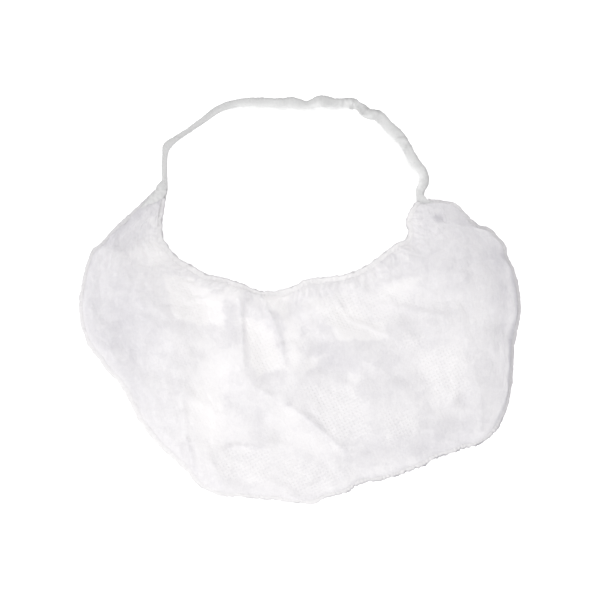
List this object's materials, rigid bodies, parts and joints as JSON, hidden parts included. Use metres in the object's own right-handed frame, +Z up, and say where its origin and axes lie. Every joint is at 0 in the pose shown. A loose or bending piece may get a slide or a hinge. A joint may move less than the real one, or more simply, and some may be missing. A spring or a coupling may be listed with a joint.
{
  "type": "beard net",
  "caption": "Disposable pouch of thin non-woven cloth that covers a beard, with gathered elastic hems along its mouth and an elastic strap that loops over the head.",
  "frame": {"origin": "on the table, at the middle of the net's width and depth", "axes": "+X along the net's width, from its left corner to its right one as the picture shows it; +Y from the pouch towards the strap; +Z up from the table"},
  "size_m": [0.2992, 0.2778, 0.0288],
  "materials": {
    "front_cloth": "thin white spunbond cloth, slightly see-through, embossed with fine dots",
    "back_cloth": "the same cloth, lying flat",
    "welded_seam": "two layers welded and crimped together, darker and denser",
    "front_hem_cloth": "gathered double cloth over elastic",
    "back_hem_cloth": "gathered double cloth over elastic",
    "strap_cloth": "folded cloth tape over elastic, light grey where it is densest"
  },
  "bodies": {
    "root": {"front_panel": "front_cloth", "back_panel": "back_cloth", "edge_seam": "welded_seam", "front_hem": "front_hem_cloth", "back_hem": "back_hem_cloth", "head_strap": "strap_cloth"}
  },
  "joints": []
}
